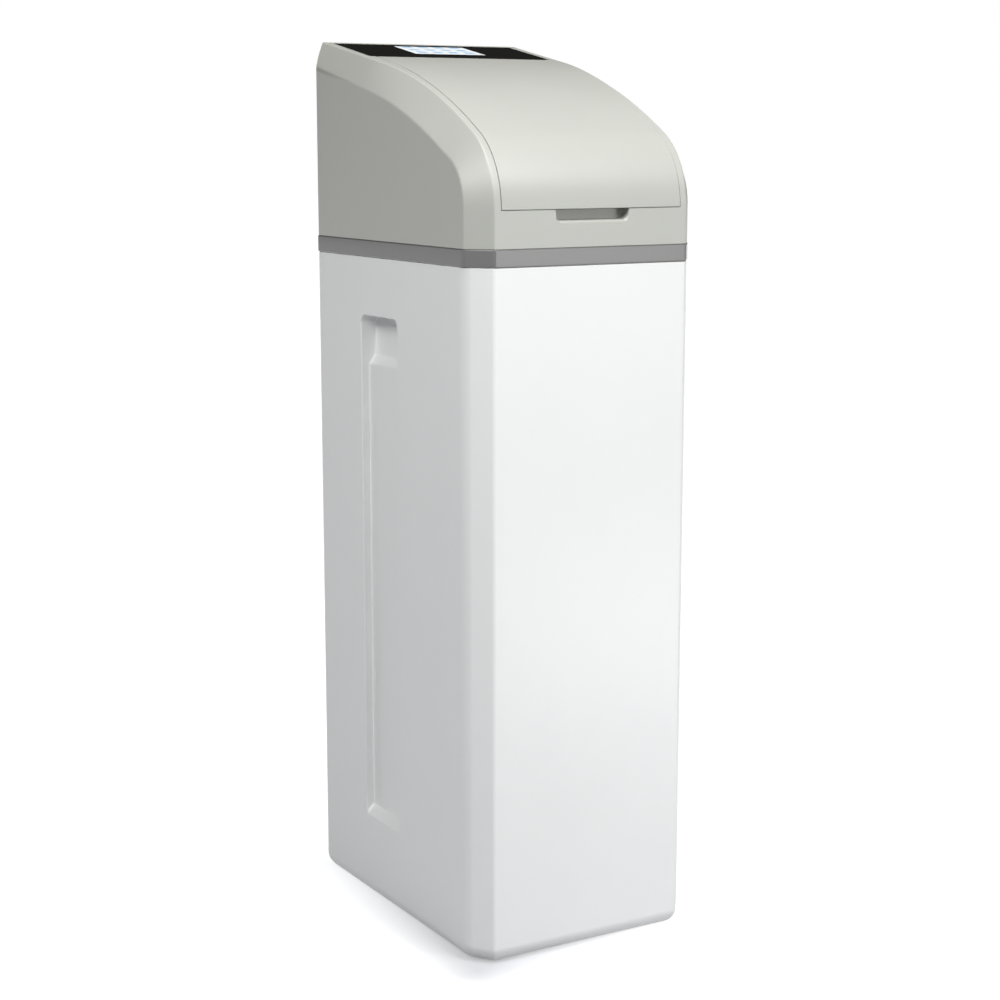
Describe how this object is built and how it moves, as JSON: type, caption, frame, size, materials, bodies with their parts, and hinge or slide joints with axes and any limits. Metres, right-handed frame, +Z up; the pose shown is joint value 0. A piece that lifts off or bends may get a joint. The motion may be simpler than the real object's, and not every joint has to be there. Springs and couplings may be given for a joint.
{
  "type": "water softener",
  "caption": "Floor-standing cabinet water softener with a hooded top, a hinged salt lid, a sloped display panel, side grips, an inner resin vessel with control valve, and a rear bypass.",
  "frame": {"origin": "on the floor, under the middle of the cabinet", "axes": "+Z up; the front with the salt lid faces -Y; +X is to the right seen from the front"},
  "size_m": [0.3316, 0.509, 1.166],
  "materials": {
    "cabinet_white": "moulded polyethylene, fine satin texture",
    "hood_grey": "moulded ABS, satin",
    "band_grey": "moulded ABS, satin",
    "panel_black": "back-printed acrylic, gloss",
    "display_glass": "liquid crystal cell with a polariser film",
    "board_green": "solder mask",
    "housing_dark": "moulded ABS, fine texture",
    "steel": "zinc plated",
    "black_rubber": "moulded rubber",
    "vessel_blue": "wound glass fibre in resin",
    "base_black": "moulded polyethylene",
    "resin_amber": "bed of fine resin beads",
    "ivory_plastic": "moulded ABS, natural colour",
    "valve_black": "glass-filled moulding",
    "ceramic_white": "lapped ceramic",
    "gear_acetal": "moulded acetal",
    "pinion_brass": "machined",
    "motor_steel": "zinc plated can",
    "nozzle_red": "moulded",
    "turbine_blue": "moulded",
    "knob_blue": "moulded",
    "knob_red": "moulded",
    "tube_white": "extruded polyethylene",
    "well_white": "extruded and moulded polyethylene",
    "float_orange": "blow-moulded"
  },
  "bodies": {
    "cabinet": {"cabinet": "cabinet_white", "collar_band": "band_grey", "hood": "hood_grey", "hinge_pins": "steel", "lid_bumpers": "black_rubber", "panel_glass": "panel_black", "lcd_module": "display_glass", "control_board": "board_green", "display_housing": "housing_dark", "display_screws": "steel", "hood_screws": "steel", "lead_grommet": "black_rubber", "pressure_vessel": "vessel_blue", "vessel_base": "base_black", "resin_bed": "resin_amber", "riser_tube": "ivory_plastic", "bottom_strainer": "ivory_plastic", "top_strainer": "ivory_plastic", "neck_seal": "black_rubber", "valve_body": "valve_black", "fixed_disc": "ceramic_white", "valve_cap": "valve_black", "cap_screws": "steel", "shaft_seal": "black_rubber", "motor_bracket": "valve_black", "bracket_screws": "steel", "drive_motor": "motor_steel", "motor_lead": "black_rubber", "injector_nozzle": "nozzle_red", "injector_cap": "valve_black", "drain_elbow": "valve_black", "brine_elbow": "valve_black", "meter_cage": "ivory_plastic", "bypass_body": "valve_black", "bypass_caps": "valve_black", "coupling_nuts": "valve_black", "brine_line": "tube_white", "brine_well": "well_white", "well_cap": "well_white", "brine_valve": "valve_black", "well_nut": "valve_black", "pickup_pipe": "ivory_plastic", "air_check": "ivory_plastic", "salt_grid": "well_white", "overflow_elbow": "valve_black", "overflow_nut": "valve_black", "overflow_gasket": "black_rubber"},
    "lid": {"salt_lid": "hood_grey"},
    "rotor": {"valve_rotor": "ceramic_white", "drive_gear": "gear_acetal"},
    "pinion": {"motor_pinion": "pinion_brass"},
    "turbine": {"meter_turbine": "turbine_blue"},
    "inlet_bypass": {"inlet_plug": "ivory_plastic", "inlet_knob": "knob_blue"},
    "outlet_bypass": {"outlet_plug": "ivory_plastic", "outlet_knob": "knob_red"},
    "float": {"float_rod": "steel", "brine_float": "float_orange"}
  },
  "joints": [
    {"name": "lid_hinge", "type": "hinge", "parent": "cabinet", "child": "lid", "pos_m": [0, 0.09696, 1.13821], "axis": [-1, 0, 0], "range_deg": [0, 110]},
    {"name": "rotor_spin", "type": "hinge", "parent": "cabinet", "child": "rotor", "pos_m": [0, 0.083, 1.02], "axis": [0, 0, 1], "continuous": true},
    {"name": "pinion_spin", "type": "hinge", "parent": "cabinet", "child": "pinion", "pos_m": [0.054, 0.083, 1.02], "axis": [0, 0, 1], "continuous": true},
    {"name": "turbine_spin", "type": "hinge", "parent": "cabinet", "child": "turbine", "pos_m": [0.04, 0.174, 0.946], "axis": [0, 1, 0], "continuous": true},
    {"name": "inlet_turn", "type": "hinge", "parent": "cabinet", "child": "inlet_bypass", "pos_m": [-0.04, 0.232, 0.946], "axis": [0, 0, 1], "range_deg": [0, 90]},
    {"name": "outlet_turn", "type": "hinge", "parent": "cabinet", "child": "outlet_bypass", "pos_m": [0.04, 0.232, 0.946], "axis": [0, 0, -1], "range_deg": [0, 90]},
    {"name": "float_slide", "type": "slide", "parent": "cabinet", "child": "float", "axis": [0, 0, 1], "range_m": [0, 0.015]}
  ],
  "couplings": [
    {"joint": "pinion_spin", "follows": "rotor_spin", "ratio": -5}
  ]
}
